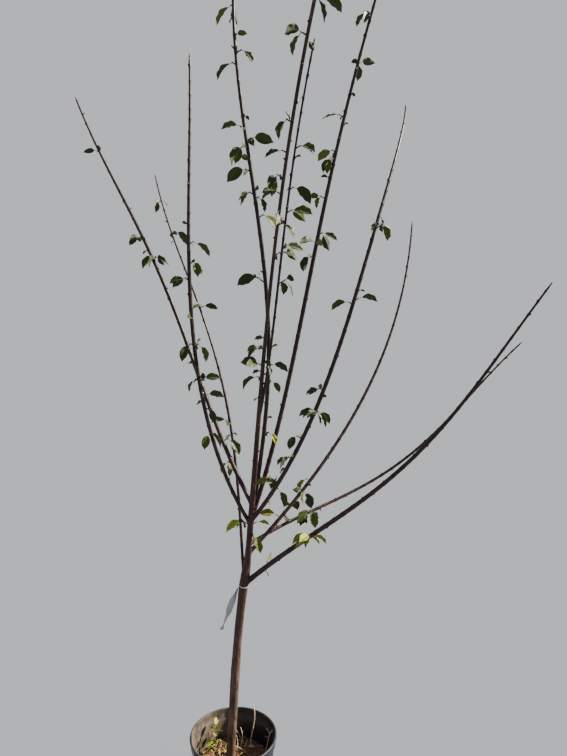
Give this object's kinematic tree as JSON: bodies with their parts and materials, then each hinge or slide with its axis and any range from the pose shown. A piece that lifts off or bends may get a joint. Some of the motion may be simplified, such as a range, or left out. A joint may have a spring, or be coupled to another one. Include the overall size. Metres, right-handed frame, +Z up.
{
  "type": "potted young fruit tree",
  "caption": "Young fruit tree in a nursery pot, with a slender trunk, long whips spreading upwards and sparse drooping leaves.",
  "frame": {"origin": "middle of the pot's flat underside, on the ground", "axes": "+Z up, -Y towards the side seen first, +X to that side's right"},
  "size_m": [1.6417, 1.0467, 2.6799],
  "materials": {
    "bark": "matte",
    "whip_bark": "satin",
    "leaf": "satin",
    "young_leaf": "satin",
    "pot_plastic": "satin",
    "potting_mix": "matte",
    "tag": "matte"
  },
  "bodies": {
    "root": {"bough_far_left": "whip_bark", "bough_fourth_right": "whip_bark", "bough_front_left": "whip_bark", "bough_leader": "bark", "bough_leader_fork": "whip_bark", "bough_low_right": "whip_bark", "bough_rear_left": "whip_bark", "bough_second_right": "whip_bark", "bough_third_right": "whip_bark", "bough_top_right": "whip_bark", "bough_twin_leader": "whip_bark", "foliage_far_left": "leaf", "foliage_fourth_right": "leaf", "foliage_front_left": "leaf", "foliage_leader": "leaf", "foliage_leader_fork": "leaf", "foliage_rear_left": "leaf", "foliage_top_right": "leaf", "foliage_twin_leader": "leaf", "pot": "pot_plastic", "potting_mix": "potting_mix", "sprout": "young_leaf", "spur_far_left_1": "leaf", "spur_far_left_2": "leaf", "spur_fourth_right_1": "leaf", "spur_fourth_right_2": "leaf", "spur_fourth_right_3": "leaf", "spur_fourth_right_4": "leaf", "spur_front_left_1": "leaf", "spur_front_left_2": "leaf", "spur_front_left_3": "leaf", "spur_front_left_4": "leaf", "spur_front_left_5": "leaf", "spur_leader_1": "leaf", "spur_leader_2": "leaf", "spur_leader_3": "leaf", "spur_leader_fork_1": "leaf", "spur_leader_fork_2": "leaf", "spur_low_right_1": "leaf", "spur_low_right_2": "leaf", "spur_rear_left_1": "leaf", "spur_rear_left_2": "leaf", "spur_rear_left_3": "leaf", "spur_second_right_1": "leaf", "spur_second_right_2": "leaf", "spur_third_right_1": "leaf", "spur_third_right_2": "leaf", "spur_third_right_3": "leaf", "spur_third_right_4": "leaf", "spur_twin_leader_1": "leaf", "tag": "tag", "trunk": "bark"}
  },
  "joints": []
}
